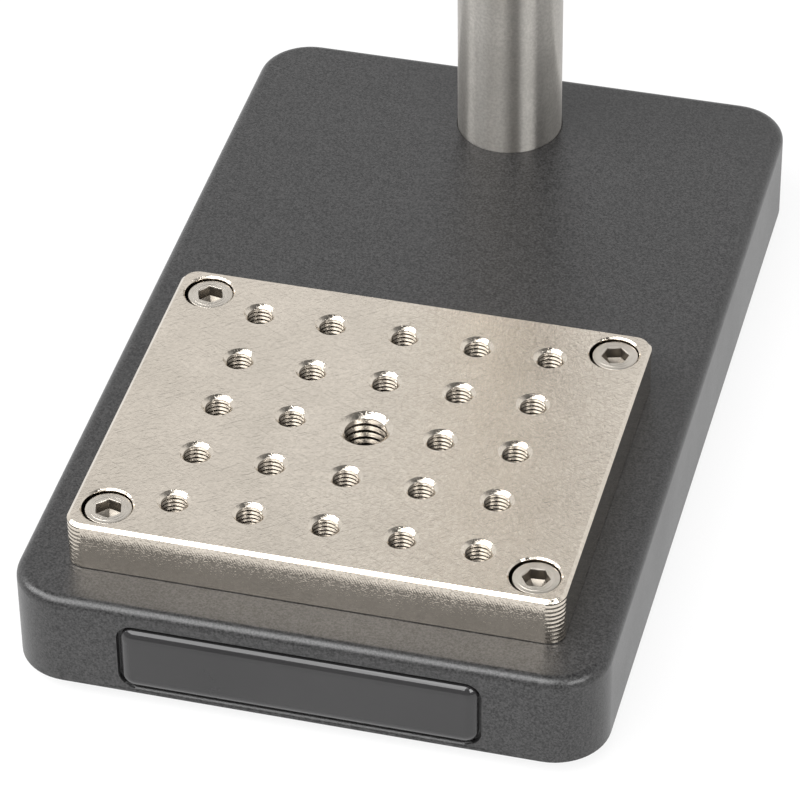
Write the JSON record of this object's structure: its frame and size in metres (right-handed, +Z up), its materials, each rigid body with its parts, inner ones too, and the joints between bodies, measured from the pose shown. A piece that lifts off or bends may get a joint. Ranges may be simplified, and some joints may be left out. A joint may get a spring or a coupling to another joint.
{
  "type": "manual test stand",
  "caption": "Column test stand with a threaded specimen plate on its base and a lever-driven rack slide that carries a force gauge.",
  "frame": {"origin": "on the bench, straight under the test axis, which is the centre hole of the specimen plate", "axes": "+Z up along the test axis and the column, +X to the right, the front with the badge faces -Y"},
  "size_m": [0.1232, 0.1968, 0.437],
  "materials": {
    "base_black": "black anodised, satin, fine grain",
    "head_black": "black anodised, satin",
    "plate_black": "black anodised, fine grain",
    "plate_steel": "nickel plated, ground, fine random scratches",
    "column_steel": "ground stainless bar",
    "slide_steel": "ground, satin",
    "rack_steel": "cut teeth, light oil",
    "screw_steel": "stainless, turned",
    "screw_black": "black oxide",
    "badge_gloss": "clear domed resin over black",
    "black_plastic": "moulded, fine texture",
    "ball_gloss": "polished phenolic",
    "foot_rubber": "moulded rubber",
    "nylon": "natural nylon",
    "fibre": "red fibre",
    "bronze": "turned bronze"
  },
  "bodies": {
    "base": {"base": "base_black", "specimen_plate": "plate_steel", "plate_screws": "screw_steel", "badge": "badge_gloss", "rubber_feet": "foot_rubber", "foot_washers": "screw_steel", "foot_screws": "screw_steel", "column": "column_steel", "column_washer": "screw_steel", "column_screw": "screw_black", "column_cap": "black_plastic"},
    "collar": {"height_collar": "head_black", "collar_pad": "nylon"},
    "collar_lock": {"collar_screw": "screw_steel", "collar_knob": "black_plastic"},
    "head": {"head_block": "head_black", "gib_strip": "bronze", "gib_screws": "screw_black", "gib_nuts": "screw_steel", "pinion_bushes": "bronze", "clamp_washer": "screw_steel", "drag_washer": "fibre"},
    "clamp": {"clamp_stud": "screw_steel", "clamp_lever": "black_plastic"},
    "slide": {"slide_bar": "slide_steel", "rack": "rack_steel", "rack_screws": "screw_black", "gauge_plate": "plate_black", "gauge_plate_screws": "screw_black", "top_stop": "head_black", "bottom_stop": "head_black", "stop_screws": "screw_black"},
    "pinion": {"pinion_gear": "rack_steel", "pinion_pin": "screw_steel", "pinion_shaft": "slide_steel", "spring_washer": "screw_steel", "lever_hub": "slide_steel", "hub_set_screw": "screw_black", "lever_rod": "column_steel", "lever_ball": "ball_gloss", "end_washer": "screw_steel", "end_screw": "screw_steel"},
    "drag": {"drag_knob": "black_plastic", "drag_insert": "bronze"}
  },
  "joints": [
    {"name": "height_adjust", "type": "slide", "parent": "base", "child": "collar", "axis": [0, 0, 1], "range_m": [-0.12, 0.06]},
    {"name": "collar_lock_turn", "type": "hinge", "parent": "collar", "child": "collar_lock", "pos_m": [0, 0.1025, 0.2835], "axis": [0, 1, 0], "range_deg": [0, 360]},
    {"name": "head_swivel", "type": "hinge", "parent": "collar", "child": "head", "pos_m": [0, 0.1025, 0.295], "axis": [0, 0, 1], "continuous": true},
    {"name": "clamp_turn", "type": "hinge", "parent": "head", "child": "clamp", "pos_m": [-0.02, 0.12, 0.33], "axis": [-1, 0, 0], "range_deg": [0, 100]},
    {"name": "slide_travel", "type": "slide", "parent": "head", "child": "slide", "axis": [0, 0, -1], "range_m": [0, 0.05]},
    {"name": "lever_turn", "type": "hinge", "parent": "head", "child": "pinion", "pos_m": [0, 0.04988, 0.33], "axis": [1, 0, 0], "range_deg": [0, 286.4]},
    {"name": "drag_turn", "type": "hinge", "parent": "pinion", "child": "drag", "pos_m": [-0.03, 0.04988, 0.33], "axis": [-1, 0, 0], "range_deg": [0, 180]}
  ],
  "couplings": [
    {"joint": "slide_travel", "follows": "lever_turn", "m_per_rad": 0.01}
  ]
}
